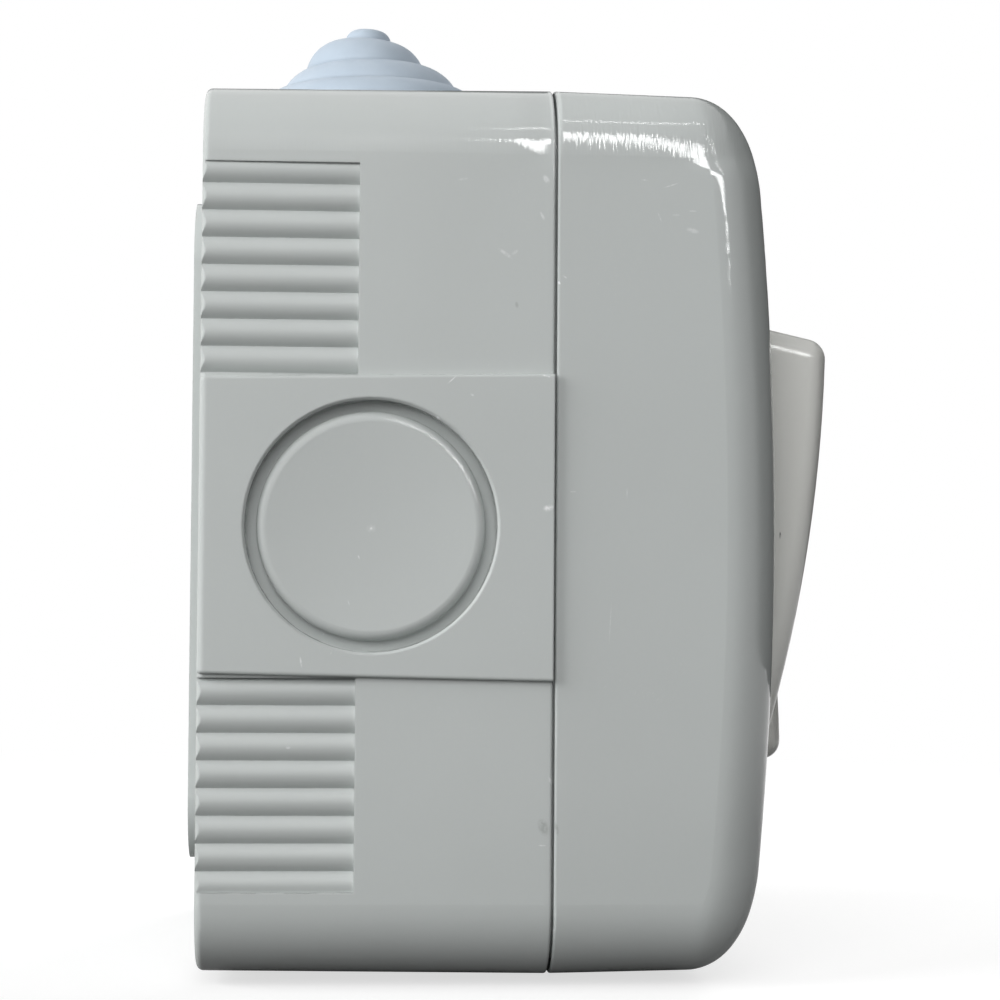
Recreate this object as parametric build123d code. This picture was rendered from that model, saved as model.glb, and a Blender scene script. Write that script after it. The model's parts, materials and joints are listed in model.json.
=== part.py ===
from build123d import *
import math
import os

# Surface-mounted double rocker switch: moulded box, domed cover, stepped cable gland, two-pole insert.
# It is drawn lying on its back: the wall plane is z = 0, the front looks along +z and y points to the top.
# The last step stands it up, so that the wall plane becomes y = 0 and the front looks along -y.
# Lengths are in millimetres and angles in degrees.

# Box
box_width = 66.0
box_height = 75.6
box_depth = 29.5
box_corner = 6.5
box_draft = 0.6
box_wall = 2.2
back_wall = 2.2
back_edge_round = 0.6

# Raised rim on the back that meets the wall
plinth_height = 1.1
plinth_inset = 9.0
plinth_corner = 5.5
plinth_rim = 3.0

# Slots for the wall screws and the knock-out of the rear cable entry
slot_spacing = 40.0
slot_length = 8.0
slot_width = 4.5
slot_collar = 2.5
rear_entry_diameter = 20.0
rear_groove_width = 1.0
rear_groove_depth = 1.2

# Raised pads in the middle of the four sides, with their cable entries
pad_width = 24.6
pad_flare = 1.0
pad_rise = 0.6
pad_edge_round = 0.25
entry_level = 15.4
knockout_diameter = 21.0
knockout_depth = 2.0
knockout_groove = 0.95
knockout_drop = 0.35
knockout_round = 0.75
knockout_dish = 0.4
knockout_rim = 0.2

# Reeded recesses beside the pads
reed_pitch = 2.28
reed_height = 0.55
reed_sink = 0.35
reed_length = 13.1
reed_lead = 0.35
reed_margin = 7.45

# Rim of the box and the seal between box and cover
lip_width = 1.0
lip_height = 1.8
lip_clearance = 0.1
seam_gap = 0.2
seam_round = 0.2
seal_height = 0.7
seal_clearance = 0.05

# Cover
cover_depth = 19.4
cover_draft = 1.2
cover_wall = 2.0
cover_edge_round = 4.8
crown_radius = 320.0
crown_half = 28.8
shoulder_radius = 15.5
collar_wall = 1.5
ledge_thickness = 1.5
opening_corner = 1.2
opening_edge_round = 0.4

# Rockers
rocker_width = 22.2
rocker_gap = 0.6
rocker_offset = -2.0
rocker_tilt = 9.8
rocker_face = 10.1
rocker_face_radius = 135.0
rocker_half = 20.7
rocker_end_draft = 3.0
rocker_skirt = 1.0
rocker_wall = 1.6
rocker_edge_round = 1.8
rocker_clearance = 0.45
pivot_drop = 6.1

# Toggles that carry the rockers
toggle_width = 12.0
toggle_length = 11.0
toggle_top = 6.6
hub_radius = 3.6
boss_radius = 3.2
boss_reach = 9.0
trunnion_diameter = 3.0
socket_wall = 1.4
socket_mouth = 3.4
socket_clearance = 0.05
running_clearance = 0.06

# Plungers and their springs
plunger_diameter = 3.2
plunger_top = 5.0
spring_seat = 1.0
spring_wire = 0.5
spring_coil = 2.4
spring_turns = 4.5
plunger_pass = 0.08

# Insert: base plate, housing and bearing ears
insert_base_thickness = 2.0
housing_depth = 12.5
pivot_height = 9.4
opening_seal_thickness = 1.0
pole_cavity_width = 10.0
pole_cavity_length = 25.0
ear_thickness = 2.0
ear_radius = 3.0
ear_gap = 0.3
window_width = 18.0
window_length = 27.0
shelf_length = 9.0
shelf_width = 33.0
shelf_drop = 3.6
lug_radius = 4.0
lug_length = 12.0
lug_thickness = 2.5
pillar_inset = 5.0
pillar_radius = 3.6
pillar_rib = 1.4

# Contacts and bars
bar_thickness = 0.8
bar_width = 5.0
bar_clearance = 0.1
lever_tilt = 6.0
lever_length = 20.0
lever_width = 5.0
lever_thickness = 1.6
fulcrum_radius = 0.8
contact_arm = 8.2
contact_diameter = 3.0
contact_height = 0.7
contact_dome = 4.0
contact_gap = 0.05

# Terminals
clamp_width = 7.0
clamp_length = 6.6
clamp_height = 6.4
clamp_clearance = 0.1
wire_hole_diameter = 3.2
terminal_screw_diameter = 3.0
terminal_screw_length = 3.4
terminal_head_diameter = 4.8
terminal_head_height = 1.8

# Fixing screws
screw_clearance = 0.05
screw_slot_width = 0.8
screw_slot_depth = 0.9
screw_head_round = 0.6
cover_screw_diameter = 2.9
cover_screw_length = 9.0
cover_head_diameter = 5.4
cover_head_height = 1.8
cover_screw_reach = 17.8
insert_screw_diameter = 3.4
insert_screw_length = 12.0
insert_head_diameter = 6.4
insert_head_height = 2.0
hole_allowance = 0.2

# Cable gland: radius and height over the pad of each groove, for the rings and the dome that leans on them
gland_rings = [(12.0, 0.9), (10.6, 2.5), (8.4, 4.5), (5.2, 6.8)]
gland_dome = [(5.7, 6.5), (2.2, 9.4)]
gland_height = 10.57
gland_ring_bulge = 0.5
gland_dome_bulge = 0.8
gland_tip_radius = 1.2
gland_shift = 0.4
gland_lean = -4.0
gland_neck_diameter = 20.6
gland_neck_clearance = 0.2
gland_lip_diameter = 23.2
gland_lip_thickness = 1.4
gland_wall = 1.1

# Levels over the wall plane
floor_level = plinth_height + back_wall
seam_level = plinth_height + box_depth
cover_foot = seam_level + seam_gap
crown_level = seam_level + cover_depth
pivot_level = crown_level - pivot_drop
insert_front = pivot_level - pivot_height
housing_seat = insert_front - housing_depth
insert_seat = housing_seat - insert_base_thickness
ledge_level = insert_front + opening_seal_thickness
ledge_top = ledge_level + ledge_thickness
bar_top = housing_seat + bar_thickness
draft_slope = math.tan(math.radians(box_draft))
back_shrink = box_depth * draft_slope

# Inside of the box at the seam
inner_width = box_width - 2 * box_wall
inner_height = box_height - 2 * box_wall
inner_corner = box_corner - box_wall

# Places across the front
pole_pitch = rocker_width + rocker_gap
pole_sides = {"left": -1, "right": 1}
pillar_x = inner_width / 2 - pillar_inset
pillar_y = inner_height / 2 - pillar_inset
terminal_columns = (-pole_pitch / 2, 0, pole_pitch / 2)
cover_screw_rows = (rocker_offset - cover_screw_reach, rocker_offset + cover_screw_reach)

# Rocker in its own frame, with the pivot axis along x at the origin and the front along +z
tip_level = rocker_face - rocker_face_radius + math.sqrt(rocker_face_radius**2 - rocker_half**2)
end_slope = math.tan(math.radians(rocker_end_draft))
skirt_half = rocker_half + (tip_level + rocker_skirt) * end_slope
tilt_angle = math.radians(rocker_tilt)
tip_reach = rocker_half * math.cos(tilt_angle) + tip_level * math.sin(tilt_angle)
sweep_half = max(math.hypot(skirt_half, rocker_skirt), tip_reach)
opening_width = 2 * rocker_width + rocker_gap + 2 * rocker_clearance
opening_length = 2 * (sweep_half + rocker_clearance)
collar_width = opening_width + 2 * collar_wall
collar_length = opening_length + 2 * collar_wall
collar_top = rocker_offset + collar_length / 2
collar_bottom = rocker_offset - collar_length / 2
shelf_end = collar_top + shelf_length

# Contact lever: the moving contact just clears the fixed one when its end is down
lever_angle = math.radians(lever_tilt)
contact_drop = contact_arm * math.sin(lever_angle) + contact_dome
contact_drop -= (contact_dome - contact_height) * math.cos(lever_angle)
lever_level = bar_top + contact_height + contact_gap + contact_drop
plunger_radius = plunger_diameter / 2
plunger_reach = pivot_level - lever_level - lever_thickness - plunger_radius - plunger_pass


def upright(shape):
    """Stands a piece up from its back."""
    return Rot(90, 0, 0) * shape


def plate(width, height, corner, low, high):
    """Rounded rectangle about the middle of the switch between two levels."""
    return extrude(Pos(0, 0, low) * RectangleRounded(width, height, corner), amount=high - low)


def block(x_span, y_span, z_span):
    """Box between two values on each axis."""
    size = [high - low for low, high in (x_span, y_span, z_span)]
    middle = [(high + low) / 2 for low, high in (x_span, y_span, z_span)]
    return Pos(*middle) * Box(*size)


def rod(radius, low, high):
    """Cylinder about the z axis between two levels."""
    return Pos(0, 0, low) * Cylinder(radius, high - low, align=(Align.CENTER, Align.CENTER, Align.MIN))


def cross_rod(radius, low, high):
    """Cylinder about the x axis between two values of x."""
    return Rot(0, 90, 0) * rod(radius, low, high)


def four_ways(shape):
    """A shape with its mirror images left to right and top to bottom."""
    pair = [shape, mirror(shape, about=Plane.YZ)]
    return pair + [mirror(half, about=Plane.XZ) for half in pair]


def box_body():
    """Drafted outer form of the box with its cavity."""
    rim = Pos(0, 0, seam_level) * RectangleRounded(box_width, box_height, box_corner)
    body = extrude(rim, amount=-box_depth, taper=box_draft)
    body = fillet(body.faces().sort_by(Axis.Z)[0].edges(), back_edge_round)
    body = fillet(body.faces().sort_by(Axis.Z)[-1].edges(), seam_round)
    mouth = Pos(0, 0, seam_level) * RectangleRounded(inner_width, inner_height, inner_corner)
    return body - extrude(mouth, amount=floor_level - seam_level, taper=box_draft)


def reed_cutter(face_distance, end):
    """Stock taken off a side wall beside its pad, which leaves a row of round reeds."""
    start = pad_width / 2 + reed_lead
    crest = face_distance - reed_sink
    groove = crest - reed_height
    radius = (reed_pitch**2 / 4 + reed_height**2) / (2 * reed_height)
    outside = face_distance + pad_rise
    zone = Pos((groove + outside) / 2, (start + end) / 2) * Rectangle(outside - groove, end - start)
    for number in range(math.ceil((end - start) / reed_pitch)):
        middle = start + (number + 0.5) * reed_pitch
        zone -= Pos(crest - radius, middle) * Circle(radius)
    return extrude(zone, amount=plinth_height + reed_length)


def entry_pad(face_distance):
    """Raised pad on the side that looks along +x, wider at the seam."""
    root = face_distance - back_shrink - box_wall / 2
    sections = []
    for level, shrink, flare in ((seam_level, 0, box_depth), (plinth_height, back_shrink, 0)):
        outside = face_distance + pad_rise - shrink
        width = pad_width + 2 * flare * math.tan(math.radians(pad_flare))
        section = Rectangle(outside - root, width)
        sections.append(Pos((outside + root) / 2, 0, level) * section)
    pad = loft(sections, ruled=True)
    pad = fillet(pad.faces().sort_by(Axis.X)[-1].edges().sort_by(Axis.Z)[0], back_edge_round)
    face = pad.faces().sort_by(Axis.X)[-1]
    edges = face.edges().filter_by(lambda edge: edge.bounding_box().size.Z > box_depth / 2)
    return fillet(edges, pad_edge_round)


def entry_place(face_distance):
    """Where the axis of a cable entry meets the drafted face of the pad that looks along +x."""
    distance = face_distance + pad_rise - (seam_level - entry_level) * draft_slope
    return Pos(distance, 0, entry_level) * Rot(0, 90 + box_draft, 0)


def knockout(face_distance):
    """Groove of a knock-out with a bevelled rim, and the hollow over its disc, which is dished a little."""
    radius = knockout_diameter / 2
    disc_radius = radius - knockout_groove
    dish_radius = (disc_radius**2 + knockout_dish**2) / (2 * knockout_dish)
    disc = rod(disc_radius, -knockout_depth, -knockout_drop)
    disc -= Pos(0, 0, dish_radius - knockout_drop - knockout_dish) * Rot(90, 0, 0) * Sphere(dish_radius)
    disc = fillet(disc.edges().sort_by(Axis.Z)[-1], knockout_round)
    rim = Cone(radius, radius + 2 * knockout_rim, 2 * knockout_rim)
    return entry_place(face_distance) * (rod(radius, -knockout_depth, pad_rise) + rim - disc)


def wall_slots(width, length, low, high):
    """Both slots for the wall screws, one above the other."""
    slot = extrude(Rot(0, 0, 90) * SlotOverall(length, width), amount=high - low)
    return [Pos(0, side * slot_spacing / 2, low) * slot for side in (-1, 1)]


def plinth():
    """Rim and screw collars that stand on the wall."""
    width = box_width - 2 * plinth_inset
    height = box_height - 2 * plinth_inset
    root = plinth_height + back_wall / 2
    rim = plate(width, height, plinth_corner, 0, root)
    hollow_width = width - 2 * plinth_rim
    hollow_height = height - 2 * plinth_rim
    inside = plate(hollow_width, hollow_height, plinth_corner - plinth_rim, 0, plinth_height)
    collars = wall_slots(slot_width + 2 * slot_collar, slot_length + 2 * slot_collar, 0, root)
    return rim - inside + collars


def pillars():
    """Two corner pillars for the insert, tied to the walls by ribs."""
    pieces = []
    reach = pillar_inset + box_wall / 2
    half_rib = pillar_rib / 2
    span = (floor_level - back_wall / 2, insert_seat)
    for side in (-1, 1):
        pillar = rod(pillar_radius, *span)
        pillar += block(sorted((0, side * reach)), (-half_rib, half_rib), span)
        pillar += block((-half_rib, half_rib), sorted((0, side * reach)), span)
        pieces.append(Pos(side * pillar_x, side * pillar_y) * pillar)
    return pieces


def pillar_places(level):
    """Places over the two pillars at a level."""
    return [Pos(side * pillar_x, side * pillar_y, level) for side in (-1, 1)]


def base_box():
    """Back box, moulded in one piece."""
    box = box_body()
    half_width = box_width / 2
    half_height = box_height / 2
    side_reeds = reed_cutter(half_width, half_height - reed_margin)
    end_reeds = Rot(0, 0, 90) * reed_cutter(half_height, half_width - reed_margin)
    box -= four_ways(side_reeds) + four_ways(end_reeds)
    side_pad = entry_pad(half_width)
    end_pad = Rot(0, 0, 90) * entry_pad(half_height)
    box += [side_pad, mirror(side_pad, about=Plane.YZ), end_pad, mirror(end_pad, about=Plane.XZ)]
    side_knockout = knockout(half_width)
    box -= [side_knockout, mirror(side_knockout, about=Plane.YZ), Rot(0, 0, -90) * knockout(half_height)]
    gland_hole = rod(gland_neck_diameter / 2 + gland_neck_clearance, -2 * (box_wall + pad_rise), pad_rise)
    box -= Rot(0, 0, 90) * entry_place(half_height) * gland_hole
    lip_span = (seam_level - lip_width, seam_level + lip_height)
    lip_size = (inner_width + 2 * lip_width, inner_height + 2 * lip_width, inner_corner + lip_width)
    box += plate(*lip_size, *lip_span) - plate(inner_width, inner_height, inner_corner, *lip_span)
    box += pillars()
    pilot = rod(insert_screw_diameter / 2 + screw_clearance, -insert_screw_length, 0)
    box -= [place * pilot for place in pillar_places(insert_seat)]
    box += plinth()
    box -= wall_slots(slot_width, slot_length, 0, floor_level)
    groove_outer = rear_entry_diameter / 2
    groove = rod(groove_outer, 0, plinth_height + rear_groove_depth)
    groove -= rod(groove_outer - rear_groove_width, 0, plinth_height + rear_groove_depth)
    return box - groove


def lobes(grooves, bulge):
    """Arcs between the grooves of the gland, which bulge outwards."""
    arcs = []
    for (r0, h0), (r1, h1) in zip(grooves, grooves[1:]):
        out = bulge / math.hypot(r1 - r0, h1 - h0)
        middle = ((r0 + r1) / 2 + (h1 - h0) * out, (h0 + h1) / 2 + (r0 - r1) * out)
        arcs.append(ThreePointArc((r0, h0), middle, (r1, h1)))
    return arcs


def turned(edges):
    """Solid of revolution of a closed outline."""
    return revolve(Plane.XZ * make_face(edges), Axis.Z)


def ring_stack():
    """Rings of the gland, on its flange."""
    flange = gland_rings[0]
    top = gland_rings[-1]
    edges = [Polyline((0, 0), (flange[0], 0), flange)] + lobes(gland_rings, gland_ring_bulge)
    return turned(edges + [Polyline(top, (0, top[1]), (0, 0))])


def leaning_dome():
    """Dome on the rings, with the tip that is cut off for the cable; it sits a little askew."""
    radius, height = gland_dome[0]
    foot = height - gland_wall
    tip = (gland_tip_radius, gland_height)
    edges = [Polyline((0, foot), (radius, foot), (radius, height))] + lobes(gland_dome, gland_dome_bulge)
    edges.append(TangentArc([gland_dome[-1], tip], tangent=(0, 1)))
    edges.append(Polyline(tip, (0, gland_height), (0, foot)))
    askew = Pos(gland_shift, 0, height) * Rot(0, gland_lean, 0)
    return askew * Pos(0, 0, -height) * turned(edges)


def gland_hollow(low):
    """Inside of the gland, which follows its rings and its dome."""
    bore = gland_neck_diameter / 2 - gland_wall
    grooves = gland_rings[1:] + gland_dome[1:]
    steps = [(radius - gland_wall, height - gland_wall) for radius, height in grooves]
    return turned([Polyline((0, low), (bore, low), (bore, 0), *steps, (0, steps[-1][1]), close=True)])


def cable_gland():
    """Rubber gland: rings and dome on the pad, a neck through the wall and a lip inside it."""
    neck_end = -(box_wall + pad_rise)
    lip_end = neck_end - gland_lip_thickness
    gland = ring_stack() + leaning_dome()
    gland += rod(gland_neck_diameter / 2, neck_end, 0)
    gland += rod(gland_lip_diameter / 2, lip_end, neck_end)
    gland -= gland_hollow(lip_end - gland_wall)
    return Rot(0, 0, 90) * entry_place(box_height / 2) * gland


def cover_seal():
    """Rubber cord between the lip of the box and the cover."""
    outer = box_wall - lip_width + seal_clearance
    inner = cover_wall - seal_clearance
    low = seam_level + lip_height
    high = low + seal_height
    seal = plate(box_width - 2 * outer, box_height - 2 * outer, box_corner - outer, low, high)
    return seal - plate(box_width - 2 * inner, box_height - 2 * inner, box_corner - inner, low, high)


def front_profile(inset):
    """Side profile of the cover's front: a flat crown between two rounder shoulders."""
    turn = math.asin(crown_half / crown_radius)
    crown_center = crown_level - crown_radius
    shoulder_y = (crown_radius - shoulder_radius) * math.sin(turn)
    shoulder_z = crown_center + (crown_radius - shoulder_radius) * math.cos(turn)
    radius = shoulder_radius - inset

    def on_shoulder(angle):
        return shoulder_y + radius * math.sin(angle), shoulder_z + radius * math.cos(angle)

    joint = on_shoulder(turn)
    end = on_shoulder(math.pi / 2)
    middle = on_shoulder((turn + math.pi / 2) / 2)
    edges = [ThreePointArc((-joint[0], joint[1]), (0, crown_level - inset), joint)]
    edges.append(ThreePointArc(joint, middle, end))
    edges.append(Polyline(end, (end[0], 0), (-end[0], 0), (-end[0], end[1])))
    edges.append(ThreePointArc((-end[0], end[1]), (-middle[0], middle[1]), (-joint[0], joint[1])))
    return make_face(edges)


def cover_form(inset):
    """Solid form of the cover, drawn in from its outside by an inset."""
    rim = RectangleRounded(box_width - 2 * inset, box_height - 2 * inset, box_corner - inset)
    sides = extrude(Pos(0, 0, cover_foot) * rim, amount=crown_level - cover_foot, taper=cover_draft)
    form = sides & extrude(Plane.YZ * front_profile(inset), amount=box_width, both=True)
    front_edges = form.edges().filter_by(lambda edge: on_front_edge(edge, inset))
    return fillet(front_edges, cover_edge_round - inset)


def on_front_edge(edge, inset):
    """True for the edges between the front of the cover and its sides."""
    box = edge.bounding_box()
    across = box.size.X > box_width - 2 * cover_edge_round - 2 * inset
    inside = abs(edge.center().Y) < crown_half + cover_edge_round
    return box.min.Z > cover_foot + cover_edge_round and not (across and inside)


def on_opening_edge(edge):
    """True for the edges between the front of the cover and the opening for the rockers."""
    box = edge.bounding_box()
    low = crown_level - cover_wall - cover_edge_round
    within = max(abs(box.min.X), abs(box.max.X)) < opening_width / 2 + opening_edge_round
    return within and box.min.Z > low and box.size.Z < cover_wall


def in_opening(shape):
    """Moves a shape from the middle of the box to the middle of the rockers."""
    return Pos(0, rocker_offset) * shape


def framed(shape, low, high):
    """Cuts the windows for the toggles and the holes for the cover's screws between two levels."""
    for side in pole_sides.values():
        window = RectangleRounded(window_width, window_length, opening_corner)
        shape -= extrude(Pos(side * pole_pitch / 2, rocker_offset, low) * window, amount=high - low)
    hole = rod(cover_screw_diameter / 2 + hole_allowance, low, high)
    return shape - [Pos(0, y) * hole for y in cover_screw_rows]


def front_cover():
    """Domed cover with a collar round the rockers and a ledge that is screwed to the insert."""
    outside = cover_form(0)
    outside = fillet(outside.faces().sort_by(Axis.Z)[0].edges(), seam_round)
    shell = outside - cover_form(cover_wall)
    collar_corner = opening_corner + collar_wall
    collar = in_opening(plate(collar_width, collar_length, collar_corner, ledge_level, crown_level))
    cover = shell + (collar & outside)
    cover -= in_opening(plate(opening_width, opening_length, opening_corner, ledge_top, crown_level))
    cover = fillet(cover.edges().filter_by(on_opening_edge), opening_edge_round)
    cover = framed(cover, ledge_level, ledge_top)
    rebate_inset = box_wall - lip_width - lip_clearance
    rebate_top = seam_level + lip_height + seal_height
    rebate_corner = box_corner - rebate_inset
    rebate_width = box_width - 2 * rebate_inset
    rebate_height = box_height - 2 * rebate_inset
    return cover - plate(rebate_width, rebate_height, rebate_corner, cover_foot, rebate_top)


def opening_seal():
    """Flat rubber frame under the ledge of the cover."""
    corner = opening_corner + collar_wall
    seal = in_opening(plate(collar_width, collar_length, corner, insert_front, ledge_level))
    return framed(seal, insert_front, ledge_level)


def rocker_profile(inset, low):
    """Side profile of a rocker, drawn in by an inset, down to a level under the pivot."""
    radius = rocker_face_radius - inset

    shift = inset / math.cos(math.radians(rocker_end_draft))

    def end_at(level):
        return rocker_half + (tip_level - level) * end_slope - shift

    tip = end_at(tip_level - inset)
    tip_z = rocker_face - rocker_face_radius + math.sqrt(radius**2 - tip**2)
    foot = end_at(low)
    edges = [ThreePointArc((-tip, tip_z), (0, rocker_face - inset), (tip, tip_z))]
    edges.append(Polyline((tip, tip_z), (foot, low), (-foot, low), (-tip, tip_z)))
    return make_face(edges)


def rocker():
    """Rocker cap: a hollow shell with a socket for its toggle."""
    cap = extrude(Plane.YZ * rocker_profile(0, -rocker_skirt), amount=rocker_width / 2, both=True)
    soft_edges = cap.edges().filter_by(lambda edge: edge.center().Z > -rocker_skirt / 2)
    cap = fillet(soft_edges, rocker_edge_round)
    inner_half = rocker_width / 2 - rocker_wall
    cap -= extrude(Plane.YZ * rocker_profile(rocker_wall, -2 * rocker_skirt), amount=inner_half, both=True)
    fit_x = toggle_width / 2 + socket_clearance
    fit_y = toggle_length / 2 + socket_clearance
    side = fit_x + socket_wall
    end = fit_y + socket_wall
    cap += block((-side, side), (-end, end), (socket_mouth, rocker_face - rocker_wall / 2))
    return cap - block((-fit_x, fit_x), (-fit_y, fit_y), (socket_mouth, toggle_top))


def toggle():
    """Carrier of a rocker: a hub with trunnions, a post for the cap and a boss for the plunger."""
    half = toggle_width / 2
    end = toggle_length / 2
    reach = half + ear_gap + ear_thickness - running_clearance
    piece = cross_rod(hub_radius, -half, half)
    piece += block((-half, half), (-end, end), (0, toggle_top))
    piece += cross_rod(trunnion_diameter / 2, -reach, reach)
    piece += rod(boss_radius, -boss_reach, 0)
    return piece - rod(plunger_radius + running_clearance, -boss_reach, spring_seat)


def plunger():
    """Pin with a round tip that slides in the toggle and pushes the contact lever."""
    tip = Pos(0, 0, -plunger_reach) * Sphere(plunger_radius)
    return tip + rod(plunger_radius, -plunger_reach, -plunger_top)


def plunger_spring():
    """Coil spring between the plunger and the end of its bore."""
    length = plunger_top + spring_seat - spring_wire
    coil = Helix(length / spring_turns, length, spring_coil / 2)
    wire = Plane(origin=coil @ 0, z_dir=coil % 0) * Circle(spring_wire / 2)
    return Pos(0, 0, spring_wire / 2 - plunger_top) * sweep(wire, path=coil, is_frenet=True)


def lugs(low, high):
    """Two fixing lugs of the insert, at opposite corners."""
    pieces = []
    for side, edge in ((-1, collar_bottom), (1, collar_top)):
        outside = pillar_x + lug_radius
        x_span = sorted((side * outside, side * (outside - lug_length)))
        y_span = sorted((side * pillar_y, edge - side * collar_wall))
        pieces.append(block(x_span, y_span, (low, high)))
        pieces.append(Pos(side * pillar_x, side * pillar_y) * rod(lug_radius, low, high))
    return pieces


def lug_holes(low, high):
    """Holes in the lugs for the screws that hold the insert."""
    hole = rod(insert_screw_diameter / 2 + hole_allowance, 0, high - low)
    return [place * hole for place in pillar_places(low)]


def insert_form(low, high, shelf_high):
    """Block under the collar of the cover, with the terminal shelf above it."""
    half_width = collar_width / 2
    half_shelf = shelf_width / 2
    form = block((-half_width, half_width), (collar_bottom, collar_top), (low, high))
    return form + block((-half_shelf, half_shelf), (collar_top - collar_wall, shelf_end), (low, shelf_high))


def insert_base():
    """Base plate that closes the insert at the back and sits on the pillars."""
    base = insert_form(insert_seat, housing_seat, housing_seat) + lugs(insert_seat, housing_seat)
    return base - lug_holes(insert_seat, housing_seat)


def bearing_ear():
    """Ear beside a toggle, from the front of the housing round the trunnion, about the pivot axis."""
    ear = cross_rod(ear_radius, 0, ear_thickness)
    ear += block((0, ear_thickness), (-ear_radius, ear_radius), (-pivot_height, 0))
    return ear - cross_rod(trunnion_diameter / 2 + running_clearance, 0, ear_thickness)


def bar_strips(margin):
    """Outlines of the three flat bars on the base plate, widened by a margin on each side."""
    half = bar_width / 2 + margin
    arm = pole_pitch / 2 + half
    stem = ((-half, half), (rocker_offset - half, shelf_end))
    cross = ((-arm, arm), (rocker_offset - half, rocker_offset + half))
    strips = {"common": [stem, cross]}
    foot = rocker_offset + contact_arm - half
    for name, side in pole_sides.items():
        x = side * pole_pitch / 2
        strips[name] = [((x - half, x + half), (foot, shelf_end))]
    return strips


def insert_housing():
    """Moulded housing with a cavity for each pole, terminal pockets and the bearing ears."""
    housing = insert_form(housing_seat, insert_front, insert_front - shelf_drop)
    lug_top = housing_seat + lug_thickness
    housing += lugs(housing_seat, lug_top)
    housing -= lug_holes(housing_seat, lug_top)
    cavity_half = pole_cavity_width / 2
    cavity_end = pole_cavity_length / 2
    cavity = block((-cavity_half, cavity_half), (-cavity_end, cavity_end), (housing_seat, insert_front))
    ear_start = toggle_width / 2 + ear_gap
    ears = [Pos(ear_start) * bearing_ear(), Pos(-ear_start - ear_thickness) * bearing_ear()]
    for side in pole_sides.values():
        pole = Pos(side * pole_pitch / 2, rocker_offset)
        housing -= pole * cavity
        housing += [pole * Pos(0, 0, pivot_level) * ear for ear in ears]
    groove_span = (housing_seat, bar_top + bar_clearance)
    for strips in bar_strips(bar_clearance).values():
        housing -= [block(x_span, y_span, groove_span) for x_span, y_span in strips]
    pocket_half = clamp_width / 2 + clamp_clearance
    pocket_start = shelf_end - clamp_length - clamp_clearance
    pocket = block((-pocket_half, pocket_half), (pocket_start, shelf_end), (housing_seat, insert_front))
    housing -= [Pos(x) * pocket for x in terminal_columns]
    pilot_end = ledge_top - cover_screw_length - cover_screw_diameter
    pilot = rod(cover_screw_diameter / 2 + screw_clearance, pilot_end, insert_front)
    return housing - [Pos(0, y) * pilot for y in cover_screw_rows]


def bar(name):
    """Flat brass bar of a terminal."""
    pieces = [block(x_span, y_span, (housing_seat, bar_top)) for x_span, y_span in bar_strips(0)[name]]
    return Part() + pieces


def common_bar():
    """Bar of the common terminal, with a fulcrum post in each pole."""
    piece = bar("common")
    half = lever_width / 2
    post = block((-half, half), (-fulcrum_radius, fulcrum_radius), (bar_top - lever_level, 0))
    post += cross_rod(fulcrum_radius, -half, half)
    for side in pole_sides.values():
        piece += Pos(side * pole_pitch / 2, rocker_offset, lever_level) * post
    return piece


def contact_lever():
    """See-saw lever, about its fulcrum, with a half-round seat underneath."""
    half = lever_width / 2
    end = lever_length / 2
    lever = block((-half, half), (-end, end), (0, lever_thickness))
    return lever - cross_rod(fulcrum_radius + running_clearance, -half, half)


def moving_contact():
    """Domed contact rivet under the upper arm of a lever."""
    rivet = rod(contact_diameter / 2, -contact_height, 0)
    return Pos(0, contact_arm) * (rivet & Pos(0, 0, contact_dome - contact_height) * Sphere(contact_dome))


def fixed_contact():
    """Flat contact rivet on an output bar."""
    return Pos(0, contact_arm) * rod(contact_diameter / 2, bar_top, bar_top + contact_height)


def terminal_clamp():
    """Clamp block with a hole for the wire and one for its screw, seated on the bar."""
    half = clamp_width / 2
    clamp = block((-half, half), (shelf_end - clamp_length, shelf_end), (0, clamp_height))
    wire_radius = wire_hole_diameter / 2
    wire_level = wire_radius + bar_thickness
    wire_hole = Rot(-90, 0, 0) * rod(wire_radius, shelf_end - clamp_length, shelf_end)
    clamp -= Pos(0, 0, wire_level) * wire_hole
    screw_hole = rod(terminal_screw_diameter / 2 + screw_clearance, wire_level, clamp_height)
    return clamp - Pos(0, shelf_end - clamp_length / 2) * screw_hole


def slotted_screw(diameter, length, head_diameter, head_height):
    """Screw with a round slotted head that sits on z = 0."""
    head = rod(head_diameter / 2, 0, head_height)
    head = fillet(head.edges().sort_by(Axis.Z)[-1], screw_head_round)
    slot = Box(head_diameter, screw_slot_width, 2 * screw_slot_depth)
    return head - Pos(0, 0, head_height) * slot + rod(diameter / 2, -length, 0)


def terminal_screw():
    """Screw of a terminal clamp."""
    size = (terminal_screw_diameter, terminal_screw_length)
    return slotted_screw(*size, terminal_head_diameter, terminal_head_height)


def cover_screw():
    """Screw that holds the ledge of the cover on the insert."""
    size = (cover_screw_diameter, cover_screw_length)
    return slotted_screw(*size, cover_head_diameter, cover_head_height)


def insert_screw():
    """Screw that holds a lug of the insert on its pillar."""
    size = (insert_screw_diameter, insert_screw_length)
    return slotted_screw(*size, insert_head_diameter, insert_head_height)


def group(shape, places):
    """Like pieces at several places, as one node."""
    return Part() + [place * shape for place in places]


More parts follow.
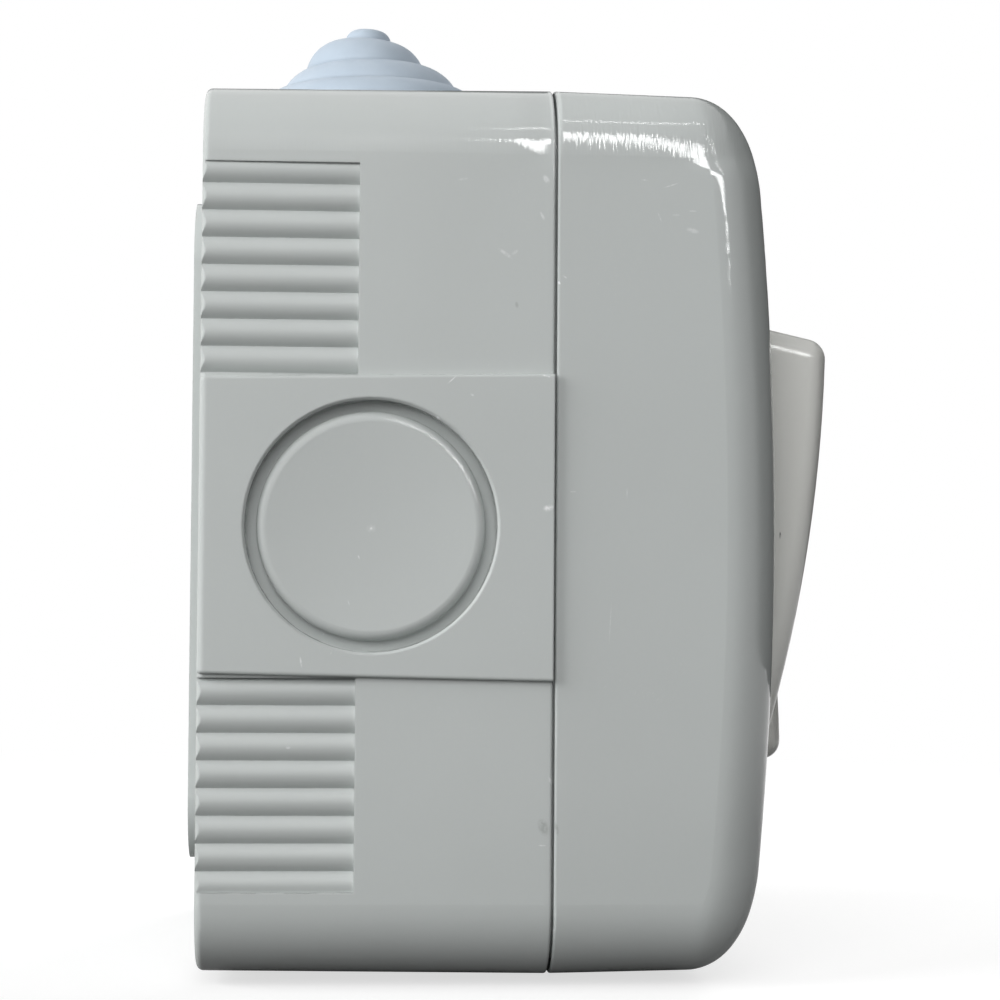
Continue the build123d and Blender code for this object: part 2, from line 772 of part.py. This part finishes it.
def assemble():
    """Every piece in its place, by its node name."""
    pieces = {
        "base_box": base_box(),
        "cable_gland": cable_gland(),
        "cover_seal": cover_seal(),
        "front_cover": front_cover(),
        "opening_seal": opening_seal(),
        "insert_base": insert_base(),
        "insert_housing": insert_housing(),
        "common_bar": common_bar(),
    }
    on_rocker = {
        "rocker": rocker(),
        "toggle": toggle(),
        "plunger": plunger(),
        "plunger_spring": plunger_spring(),
    }
    on_lever = {"contact_lever": contact_lever(), "moving_contact": moving_contact()}
    for name, side in pole_sides.items():
        pole = Pos(side * pole_pitch / 2, rocker_offset)
        pivot = pole * Pos(0, 0, pivot_level) * Rot(-side * rocker_tilt, 0, 0)
        fulcrum = pole * Pos(0, 0, lever_level) * Rot(side * lever_tilt, 0, 0)
        for kind, shape in on_rocker.items():
            pieces[f"{name}_{kind}"] = pivot * shape
        for kind, shape in on_lever.items():
            pieces[f"{name}_{kind}"] = fulcrum * shape
        pieces[f"{name}_fixed_contact"] = pole * fixed_contact()
        pieces[f"{name}_output_bar"] = bar(name)
    clamp_places = [Pos(x, 0, bar_top) for x in terminal_columns]
    screw_places = [place * Pos(0, shelf_end - clamp_length / 2, clamp_height) for place in clamp_places]
    pieces["terminal_clamps"] = group(terminal_clamp(), clamp_places)
    pieces["terminal_screws"] = group(terminal_screw(), screw_places)
    pieces["insert_screws"] = group(insert_screw(), pillar_places(housing_seat + lug_thickness))
    pieces["cover_screws"] = group(cover_screw(), [Pos(0, y, ledge_top) for y in cover_screw_rows])
    return pieces


os.makedirs("parts", exist_ok=True)
for node, piece in assemble().items():
    export_step(upright(piece), f"parts/{node}.step")
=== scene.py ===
import json
import math
import bpy
from mathutils import Matrix, Vector


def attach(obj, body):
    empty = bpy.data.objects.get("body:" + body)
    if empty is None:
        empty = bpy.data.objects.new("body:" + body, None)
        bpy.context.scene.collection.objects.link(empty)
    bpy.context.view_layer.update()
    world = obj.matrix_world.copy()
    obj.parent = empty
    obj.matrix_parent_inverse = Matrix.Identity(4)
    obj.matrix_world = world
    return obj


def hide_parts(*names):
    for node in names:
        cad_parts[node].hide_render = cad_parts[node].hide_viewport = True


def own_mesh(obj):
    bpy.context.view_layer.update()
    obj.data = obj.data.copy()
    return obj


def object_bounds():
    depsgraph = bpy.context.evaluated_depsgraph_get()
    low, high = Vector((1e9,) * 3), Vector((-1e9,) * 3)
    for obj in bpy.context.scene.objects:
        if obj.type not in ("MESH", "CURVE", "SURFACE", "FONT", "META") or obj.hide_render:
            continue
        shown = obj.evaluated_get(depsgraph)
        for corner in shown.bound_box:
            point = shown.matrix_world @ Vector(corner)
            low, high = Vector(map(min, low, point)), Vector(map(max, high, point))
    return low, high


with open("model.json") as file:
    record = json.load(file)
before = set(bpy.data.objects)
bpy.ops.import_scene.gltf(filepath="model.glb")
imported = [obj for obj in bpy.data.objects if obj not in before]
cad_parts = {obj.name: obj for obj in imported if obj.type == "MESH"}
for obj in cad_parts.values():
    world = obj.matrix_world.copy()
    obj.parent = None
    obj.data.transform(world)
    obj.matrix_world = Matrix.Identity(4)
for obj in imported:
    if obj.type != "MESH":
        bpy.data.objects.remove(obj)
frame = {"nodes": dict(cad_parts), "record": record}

cad_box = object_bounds()
scene = bpy.context.scene
scene.view_settings.view_transform = "Standard"
mm = 0.001

# Uneven polish along the top edge: the size of its fine lines, the heights between which they come in, the
# height over which the polish bends, and the height over that at which the bend levels out, and how softly
polish_lines = (2.6 * mm, 0.20 * mm, 2.6 * mm)
polish_fray_heights = (30.4 * mm, 32 * mm)
polish_foot = 29.8 * mm
polish_level = 1.5 * mm
polish_level_blend = 1.2 * mm
# The bend (per metre) changes from the cover's to the box's over this stretch of y, at the seam
seam_stretch = (-31.3 * mm, -30.2 * mm)
cover_bend = 12
box_bend = -5


class Nodes:
    """A node tree, with short calls that add nodes to it and link them."""

    def __init__(self, owner):
        owner.use_nodes = True
        self.tree = owner.node_tree

    def add(self, kind, inputs=None, **settings):
        node = self.tree.nodes.new(kind)
        for key, value in settings.items():
            setattr(node, key, value)
        for key, value in (inputs or {}).items():
            self.feed(node.inputs[key], value)
        return node

    def feed(self, socket, value):
        if isinstance(value, bpy.types.NodeSocket):
            self.tree.links.new(value, socket)
        else:
            socket.default_value = value

    def math(self, operation, *values):
        inputs = dict(enumerate(values))
        return self.add("ShaderNodeMath", inputs, operation=operation).outputs[0]

    def vector(self, operation, *values, output="Vector"):
        inputs = dict(enumerate(values))
        return self.add("ShaderNodeVectorMath", inputs, operation=operation).outputs[output]

    def between(self, value, low, high, out_low=0.0, out_high=1.0):
        inputs = {"Value": value, "From Min": low, "From Max": high, "To Min": out_low, "To Max": out_high}
        return self.add("ShaderNodeMapRange", inputs, interpolation_type="SMOOTHSTEP").outputs[0]

    def split(self, vector):
        return self.add("ShaderNodeSeparateXYZ", {"Vector": vector}).outputs

    def diffuse(self, grey):
        return self.add("ShaderNodeBsdfDiffuse", {"Color": (grey, grey, grey, 1)}).outputs[0]

    def mix_shaders(self, factor, first, second):
        return self.add("ShaderNodeMixShader", {0: factor, 1: first, 2: second}).outputs[0]

    def seen_rays(self):
        """One for the rays that show the background: camera, glossy and transmission rays."""
        rays = self.add("ShaderNodeLightPath").outputs
        seen = self.math("MAXIMUM", rays["Is Camera Ray"], rays["Is Glossy Ray"])
        return self.math("MAXIMUM", seen, rays["Is Transmission Ray"])


class Look(Nodes):
    """A procedural material on a principled shader, with its textures in the object's own metres."""

    def __init__(self, name, **constants):
        self.material = bpy.data.materials.new(name)
        super().__init__(self.material)
        self.shader = self.tree.nodes["Principled BSDF"]
        self.place = self.add("ShaderNodeTexCoord").outputs["Object"]
        for socket, value in constants.items():
            self.shader.inputs[socket.replace("_", " ")].default_value = value

    def mapped(self, turn=(0, 0, 0), scale=(1, 1, 1), centre=(0, 0, 0)):
        """Coordinates about a centre, turned by degrees and measured in units of a scale."""
        inputs = {"Vector": self.place, "Location": centre, "Scale": scale}
        inputs["Rotation"] = [math.radians(a) for a in turn]
        return self.add("ShaderNodeMapping", inputs, vector_type="TEXTURE").outputs[0]

    def noise(self, scale, detail=2.0, rough=0.5, where=None):
        """Noise of 0 to 1, with scale as its waves per metre, or per unit of the coordinates given."""
        inputs = {"Vector": where or self.place, "Scale": scale, "Detail": detail, "Roughness": rough}
        return self.add("ShaderNodeTexNoise", inputs).outputs["Fac"]

    def mix(self, factor, first, second):
        node = self.add("ShaderNodeMix", data_type="RGBA")
        sockets = (node.inputs[0], node.inputs[6], node.inputs[7])
        for socket, value in zip(sockets, (factor, first, second)):
            self.feed(socket, value)
        return node.outputs[2]

    def total(self, values):
        whole = values[0]
        for value in values[1:]:
            whole = self.math("ADD", whole, value)
        return whole

    def marks(self, table):
        """Strokes on the near side, of the table's places, slopes, lengths, widths (in mm) and strengths."""
        strokes = []
        for x, y, z, slope, length, width, strength in table:
            scale = (mark_depth, length / 2 * mm, width / 2 * mm)
            where = self.mapped((slope, 0, 0), scale, (x * mm, y * mm, z * mm))
            distance = self.vector("LENGTH", where, output="Value")
            strokes.append(self.between(distance, 0.3, 1.0, strength, 0.0))
        return self.total(strokes)

    def crown(self, end, start, drop, fray):
        """Height of the uneven polish along the top edge, which bends and frays the reflections there.

        It drops from start to end along y, and its fine lines are as high as fray.
        """
        place = self.split(self.place)
        y, z = place["Y"], place["Z"]
        lines = self.noise(1.0, 1.0, where=self.mapped(scale=polish_lines))
        frayed = self.math("MULTIPLY", lines, self.between(z, *polish_fray_heights, 0.0, fray))
        over = self.math("MAXIMUM", self.math("SUBTRACT", z, polish_foot), 0)
        near = self.math("SMOOTH_MIN", over, polish_level, polish_level_blend)
        bend = self.between(y, *seam_stretch, cover_bend, box_bend)
        rise = self.math("MULTIPLY", self.math("POWER", over, 2), bend)
        fall = self.math("POWER", self.between(y, end, start, 1, 0), 2)
        fall = self.math("MULTIPLY", fall, self.math("MULTIPLY", self.math("POWER", near, 2), -drop))
        return self.total([frayed, rise, fall])

    def softened(self, radius):
        """Surface normal with the edges rounded off, and where those edges are."""
        bevelled = self.add("ShaderNodeBevel", {"Radius": radius}, samples=2).outputs[0]
        flat = self.add("ShaderNodeNewGeometry").outputs["Normal"]
        same = self.vector("DOT_PRODUCT", bevelled, flat, output="Value")
        return bevelled, self.between(same, 0.90, 0.995, 1.0, 0.0)

    def finish(self, colour, roughness, height, normal):
        """Colour and roughness go to the shader, and a height in metres over a normal to its normal."""
        self.feed(self.shader.inputs["Base Color"], colour)
        self.feed(self.shader.inputs["Roughness"], roughness)
        inputs = {"Height": height, "Normal": normal, "Strength": 1.0, "Distance": 1.0}
        bump = self.add("ShaderNodeBump", inputs)
        self.feed(self.shader.inputs["Normal"], bump.outputs["Normal"])
        return self.material


def moulded(name, colour, dark, gloss, crown, light_marks, dark_marks):
    """Glossy moulded plastic: flow clouds, scratches, edges lightened partly as rubbed wear and partly as a
    painted highlight, and marks, more satin towards the wall.
    """
    look = Look(name, IOR=1.5)
    normal, edge = look.softened(0.22 * mm)
    base = look.mix(look.between(look.noise(40, 3.0), 0.25, 0.75), dark, colour)
    base = look.mix(look.math("MULTIPLY", look.noise(2600, 1.0), 0.05), base, wear_and_edge_highlight_grey)
    hair = look.noise(1.0, 0.0, where=look.mapped((0, 24, 63), (9 * mm, 0.14 * mm, 0.14 * mm)))
    cross = look.noise(1.0, 0.0, where=look.mapped((35, 0, -52), (0.16 * mm, 0.16 * mm, 7 * mm)))
    rare = look.between(look.noise(120, 1.0), 0.56, 0.82)
    scratch = look.math("MAXIMUM", look.between(hair, 0.73, 0.86), look.between(cross, 0.74, 0.87))
    scratch = look.math("MULTIPLY", scratch, rare)
    broken = look.between(look.noise(3800, 2.0), 0.34, 0.56, 0.35, 1.0)
    pale = look.math("MULTIPLY", look.marks(light_marks), broken)
    base = look.mix(look.math("MULTIPLY", scratch, 0.28), base, wear_and_edge_highlight_grey)
    # Edges lightened towards the pale grey: partly rubbed wear, partly a painted highlight along the edges.
    edge_wear_and_highlight = look.between(look.noise(260, 3.0), 0.35, 0.70, 0.1, 0.55)
    base = look.mix(look.math("MULTIPLY", edge, edge_wear_and_highlight), base, wear_and_edge_highlight_grey)
    base = look.mix(pale, base, scratch_white)
    # Spots from the dark table, mixed towards a dark brown
    base = look.mix(look.math("MULTIPLY", look.marks(dark_marks), broken), base, dark_spot_brown)
    rough = look.between(look.noise(140, 4.0, 0.6), 0.3, 0.7, gloss, gloss + 0.04)
    satin = look.between(look.split(look.place)["Y"], *satin_stretch, 0.0, satin_rise)
    rough = look.total([
        rough,
        satin,
        look.math("MULTIPLY", scratch, 0.15),
        look.math("MULTIPLY", pale, 0.3),
    ])
    waves = look.math("MULTIPLY", look.noise(160, 1.0), 0.02 * mm)
    return look.finish(base, rough, look.total([waves, look.crown(*crown)]), normal)


def rubber(name, colour, dark, soft):
    """Matt rubber with a dusty bloom."""
    look = Look(name, IOR=1.45)
    normal, edge = look.softened(soft)
    bloom = look.between(look.noise(300, 4.0, 0.6), 0.35, 0.7)
    base = look.mix(bloom, dark, colour)
    rough = look.between(look.noise(700, 2.0), 0.3, 0.7, 0.42, 0.56)
    height = look.total([
        look.math("MULTIPLY", look.noise(900, 3.0), 0.006 * mm),
        look.math("MULTIPLY", look.noise(5200, 1.0), 0.0012 * mm),
        look.math("MULTIPLY", edge, 0.002 * mm),
    ])
    return look.finish(base, rough, height, normal)


def matt(name, colour, dark):
    """Matt technical plastic with a fine spark-eroded grain."""
    look = Look(name, IOR=1.5)
    normal, edge = look.softened(0.12 * mm)
    base = look.mix(look.between(look.noise(120, 3.0), 0.35, 0.65), dark, colour)
    rough = look.between(look.noise(900, 2.0), 0.3, 0.7, 0.48, 0.62)
    rough = look.math("SUBTRACT", rough, look.math("MULTIPLY", edge, 0.1))
    height = look.total([
        look.math("MULTIPLY", look.noise(2400, 2.0), 0.008 * mm),
        look.math("MULTIPLY", look.noise(300, 2.0), 0.01 * mm),
    ])
    return look.finish(base, rough, height, normal)


def metal(name, colour, dark, roughness):
    """Bare metal with drawing lines, a little tarnish and bright edges."""
    look = Look(name, Metallic=1.0)
    normal, edge = look.softened(0.10 * mm)
    tarnish = look.between(look.noise(260, 4.0, 0.6), 0.45, 0.75)
    base = look.mix(look.math("SUBTRACT", tarnish, edge), colour, dark)
    lines = look.noise(1.0, 1.0, where=look.mapped(scale=(0.1 * mm, 0.1 * mm, 4 * mm)))
    rough = look.between(lines, 0.3, 0.7, roughness, roughness + 0.14)
    height = look.math("MULTIPLY", lines, 0.003 * mm)
    return look.finish(base, rough, height, normal)


# Scratches, nicks and moulding marks: x, y, z of the middle, slope in degrees, length, width and strength
box_scratches = [
    (-32.9, -26.4, 22.9, 36, 1.7, 0.42, 0.42), (-32.9, -27.2, 23.0, 144, 0.8, 0.36, 0.36),
    (-32.9, -22.8, 29.1, 169, 1.2, 0.3, 0.2), (-33.0, -29.5, 26.1, 63, 1.0, 0.3, 0.5),
    (-33.0, -29.8, 29.2, 56, 1.0, 0.6, 0.5), (-33.4, -22.0, 12.2, 138, 1.2, 0.15, 0.6),
    (-33.4, -9.7, -11.3, 81, 1.2, 0.22, 0.5), (-33.4, -23.7, 10.95, 33, 0.5, 0.25, 0.5),
    (-33.5, -30.1, 1.6, 167, 1.1, 0.7, 0.95), (-33.5, -29.9, 12.6, 15, 1.1, 0.2, 0.8),
    (-32.9, -15.4, -0.2, 0, 1.0, 0.9, 0.22), (-32.9, -15.4, -0.2, 0, 0.3, 0.3, 0.45),
    (-32.9, -14.4, -2.6, 68, 0.5, 0.2, 0.4), (-32.9, -13.6, -6.4, 71, 0.6, 0.15, 0.3),
    (-33.3, -25.8, 0.3, 78, 0.7, 0.3, 0.9), (-33.3, -20.9, 9.0, 44, 0.6, 0.25, 0.8),
    (-33.0, -30.5, -21.1, 63, 1.1, 0.35, 0.5), (-33.0, -29.8, -26.4, 180, 0.8, 0.18, 0.6),
    (-32.6, -8.7, -18.4, 180, 0.5, 0.3, 0.6),
]
# Darker spots, in the same columns, mixed towards a dark brown
box_dark_spots = [(-33.0, -29.9, -24.9, 69, 1.8, 1.1, 0.30), (-32.9, -27.4, 18.6, 80, 0.7, 0.4, 0.22)]
cover_scratches = [
    (-32.7, -38.1, 29.3, 6, 0.8, 0.18, 0.4), (-32.6, -40.4, 28.9, 162, 1.7, 0.16, 0.45),
    (-32.5, -42.2, 25.1, 13, 1.4, 0.55, 0.42), (-32.5, -42.2, 26.75, 179, 0.9, 0.2, 0.4),
    (-32.6, -39.4, 26.2, 68, 1.1, 0.18, 0.35), (-32.6, -40.8, 26.4, 179, 0.8, 0.25, 0.3),
    (-32.9, -30.95, 20.5, 56, 0.4, 0.3, 0.9), (-32.9, -31.4, 21.0, 30, 0.6, 0.2, 0.5),
    (-32.8, -36.75, 2.9, 90, 1.2, 0.14, 0.3), (-32.8, -35.4, -7.9, 93, 4.2, 0.12, 0.25),
    (-32.9, -32.2, 3.0, 179, 0.7, 0.15, 0.4),
]
cover_dark_spots = [(-32.9, -31.0, -25.0, 80, 1.4, 0.4, 0.25)]
rocker_scratches = [
    (-22.4, -51.2, 8.0, 70, 2.0, 0.12, 0.3), (-22.4, -50.8, -8.0, 100, 1.4, 0.14, 0.25),
]
rocker_stains = [(-22.6, -51.5, -0.2, 90, 0.8, 0.22, 0.9)]
mark_depth = 1.6 * mm

# Moulded plastic: colours, roughness of its gloss, and how much more satin it gets over a stretch of y
grey = (0.545, 0.575, 0.565, 1)
grey_dark = (0.525, 0.553, 0.543, 1)
warm = (0.86, 0.86, 0.82, 1)
warm_dark = (0.84, 0.84, 0.80, 1)
# Pale grey of scratches and rubbed wear, also the painted highlight along the edges
wear_and_edge_highlight_grey = (0.72, 0.73, 0.73, 1)
scratch_white = (0.86, 0.87, 0.87, 1)
# Dark brown of the darker spots
dark_spot_brown = (0.10, 0.10, 0.09, 1)
case_gloss = 0.035
rocker_gloss = 0.14
satin_stretch = (-27 * mm, -12 * mm)
satin_rise = 0.12
# Polish of the top edge: where it ends and starts along y, its drop, and the height of its lines
box_crown = (-30.3 * mm, -26.0 * mm, 60, 0.005 * mm)
cover_crown = (-46 * mm, -37 * mm, 130, 0.016 * mm)

by_node = {
    "base_box": moulded(
        "box_plastic", grey, grey_dark, case_gloss, box_crown, box_scratches, box_dark_spots
    ),
    "front_cover": moulded(
        "cover_plastic", grey, grey_dark, case_gloss, cover_crown, cover_scratches, cover_dark_spots
    ),
}
by_node["left_rocker"] = by_node["right_rocker"] = moulded(
    "rocker_plastic", warm, warm_dark, rocker_gloss, cover_crown, rocker_scratches, rocker_stains
)
by_slot = {
    "gland_rubber": rubber("gland_rubber", (0.50, 0.58, 0.665, 1), (0.47, 0.55, 0.635, 1), 0.6 * mm),
    "seal_rubber": rubber("seal_rubber", (0.055, 0.055, 0.058, 1), (0.03, 0.03, 0.032, 1), 0.1 * mm),
    "insert_plastic": matt("insert_plastic", (0.72, 0.70, 0.64, 1), (0.66, 0.63, 0.56, 1)),
    "toggle_plastic": matt("toggle_plastic", (0.76, 0.76, 0.74, 1), (0.70, 0.70, 0.68, 1)),
    "spring_steel": metal("spring_steel", (0.55, 0.55, 0.56, 1), (0.36, 0.35, 0.34, 1), 0.22),
    "contact_brass": metal("contact_brass", (0.78, 0.58, 0.26, 1), (0.52, 0.36, 0.14, 1), 0.24),
    "contact_silver": metal("contact_silver", (0.86, 0.86, 0.84, 1), (0.62, 0.60, 0.55, 1), 0.18),
    "screw_steel": metal("screw_steel", (0.66, 0.66, 0.64, 1), (0.45, 0.43, 0.38, 1), 0.26),
}
for part in frame["record"]["subparts"]:
    slots = frame["nodes"][part["node"]].data.materials
    slots.clear()
    slots.append(by_node.get(part["node"]) or by_slot[part["material_slot"]])


def coil_spring(side):
    """Copy of the CAD plunger spring on its own mesh, attached to the rocker unit's body in place of the
    hidden CAD one.
    """
    node = side + "_plunger_spring"
    piece = bpy.data.objects.new(side + "_coil_spring", frame["nodes"][node].data.copy())
    scene.collection.objects.link(piece)
    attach(piece, side + "_rocker_unit")
    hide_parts(node)
    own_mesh(piece)


coil_spring("left")
coil_spring("right")


def facing(direction):
    """Turn that points a flat thing's own Z along a direction."""
    return Vector(direction).to_track_quat("Z", "Y").to_matrix().to_4x4()


def plane(name, centre, direction, width, height):
    """A rectangle that faces along a direction."""
    mesh = bpy.data.meshes.new(name)
    w, h = width / 2, height / 2
    mesh.from_pydata([(-w, -h, 0), (w, -h, 0), (w, h, 0), (-w, h, 0)], [], [(0, 1, 2, 3)])
    piece = bpy.data.objects.new(name, mesh)
    scene.collection.objects.link(piece)
    piece.matrix_world = Matrix.Translation(centre) @ facing(direction)
    return piece


def shaded(piece, name, build):
    """A material for a stage piece, whose surface is what build gives for its empty node tree."""
    material = bpy.data.materials.new(name)
    nodes = Nodes(material)
    nodes.tree.nodes.clear()
    nodes.add("ShaderNodeOutputMaterial", {"Surface": build(nodes)})
    piece.data.materials.append(material)


def floor_surface(nodes):
    """Pale: it keeps the shadow near the object, reads as white further off and throws little light back."""
    camera_ray = nodes.add("ShaderNodeLightPath").outputs["Is Camera Ray"]
    lift = nodes.add("ShaderNodeEmission", {"Strength": nodes.math("MULTIPLY", camera_ray, floor_lift)})
    lifted = nodes.add("ShaderNodeAddShader", {0: nodes.diffuse(floor_pale), 1: lift.outputs[0]})
    white = nodes.add("ShaderNodeEmission")
    place = nodes.add("ShaderNodeNewGeometry").outputs["Position"]
    far = nodes.between(nodes.vector("LENGTH", place, output="Value"), *floor_fade)
    seen = nodes.mix_shaders(far, lifted.outputs[0], white.outputs[0])
    return nodes.mix_shaders(nodes.seen_rays(), nodes.diffuse(floor_dim), seen)


def card_surface(nodes):
    """Dark, fading out at the card's left edge."""
    across = nodes.split(nodes.add("ShaderNodeTexCoord").outputs["Object"])["X"]
    faded = nodes.between(across, card_width / 2 - card_fade, card_width / 2)
    clear = nodes.add("ShaderNodeBsdfTransparent").outputs[0]
    return nodes.mix_shaders(faded, nodes.diffuse(card_dark), clear)


# Greys of the floor in light and to the eye, its own light to the camera, and where it turns white
floor_side = 6.0
floor_gap = 0.2 * mm
floor_dim = 0.10
floor_pale = 0.42
floor_lift = 0.66
floor_fade = (0.06, 0.30)
floor = plane("floor", (0, 0, cad_box[0].z - floor_gap), (0, 0, 1), floor_side, floor_side)
shaded(floor, "floor", floor_surface)

# A dark studio card that faces the object and shows only in its gloss
card_place = Vector((0.258, -0.344, 0.134))
card_width = 1.5
card_height = 0.50
card_fade = 0.42
card_dark = 0.05
card = plane("front_card", card_place, -card_place, card_width, card_height)
card.visible_camera = False
card.visible_diffuse = False
card.visible_shadow = False
shaded(card, "front_card", card_surface)

# World: white to the rays that show the background, dimmer as light on the object
world_light = 0.16
scene.world = bpy.data.worlds.new("studio")
sky = Nodes(scene.world)
background = sky.tree.nodes["Background"]
background.inputs["Color"].default_value = (1, 1, 1, 1)
sky.feed(background.inputs["Strength"], sky.between(sky.seen_rays(), 0.0, 1.0, world_light, 1.0))

lamp_aim = Vector((0, -0.03, 0.01))


def lamp(name, azimuth, elevation, distance, width, height, tilt, level):
    """Rectangular lamp aimed at the object; level is the light it gives a surface that faces it.

    The azimuth counts from the near side (-X) towards the wall (+Y), and all angles are in degrees.
    """
    az, el = math.radians(azimuth), math.radians(elevation)
    away = Vector((-math.cos(az) * math.cos(el), math.sin(az) * math.cos(el), math.sin(el)))
    data = bpy.data.lights.new(name, "AREA")
    data.shape = "RECTANGLE"
    data.size = width
    data.size_y = height
    data.energy = level * (math.pi * distance) ** 2
    piece = bpy.data.objects.new(name, data)
    scene.collection.objects.link(piece)
    turn = facing(away) @ Matrix.Rotation(math.radians(tilt), 4, "Z")
    piece.matrix_world = Matrix.Translation(lamp_aim + away * distance) @ turn
    return piece


# Lamps that light the object without showing in its gloss, and panes that show only there
lamps = [
    lamp("soft", 12, 26, 0.90, 0.60, 0.60, 0, 0.48),
    lamp("front", -150, 22, 0.34, 0.24, 0.24, 0, 0.92),
    lamp("left", 70, 20, 0.90, 0.60, 0.60, 0, 0.90),
]
panes = [
    lamp("window", -13.0, 24.9, 0.72, 0.33, 0.072, -60, 0.242),
    lamp("sill", -26, 14.4, 0.72, 0.17, 0.07, -23, 0.12),
    lamp("tube", -20, 54, 0.72, 0.245, 0.012, 0, 0.03),
    lamp("tube_end", -33, 28, 0.72, 0.26, 0.012, -72, 0.050),
]
for piece in lamps:
    piece.visible_glossy = False
for piece in panes:
    piece.visible_diffuse = False

# Camera at the photograph's viewpoint: eye, aim and a slight roll
eye = Vector((-0.2430, -0.0128, -0.0061))
aim = Vector((-0.0330, -0.0261, 0.00225))
roll = math.radians(0.4)
ahead = (aim - eye).normalized()
level = ahead.cross(Vector((0, 0, 1))).normalized()
upright = level.cross(ahead)
right = level * math.cos(roll) + upright * math.sin(roll)
up = upright * math.cos(roll) - level * math.sin(roll)
camera = bpy.data.objects.new("camera", bpy.data.cameras.new("camera"))
scene.collection.objects.link(camera)
camera.matrix_world = Matrix.Translation(eye) @ Matrix((right, up, -ahead)).transposed().to_4x4()
camera.data.lens = 91.0
camera.data.sensor_width = 36.0
camera.data.clip_start = 0.01
scene.camera = camera
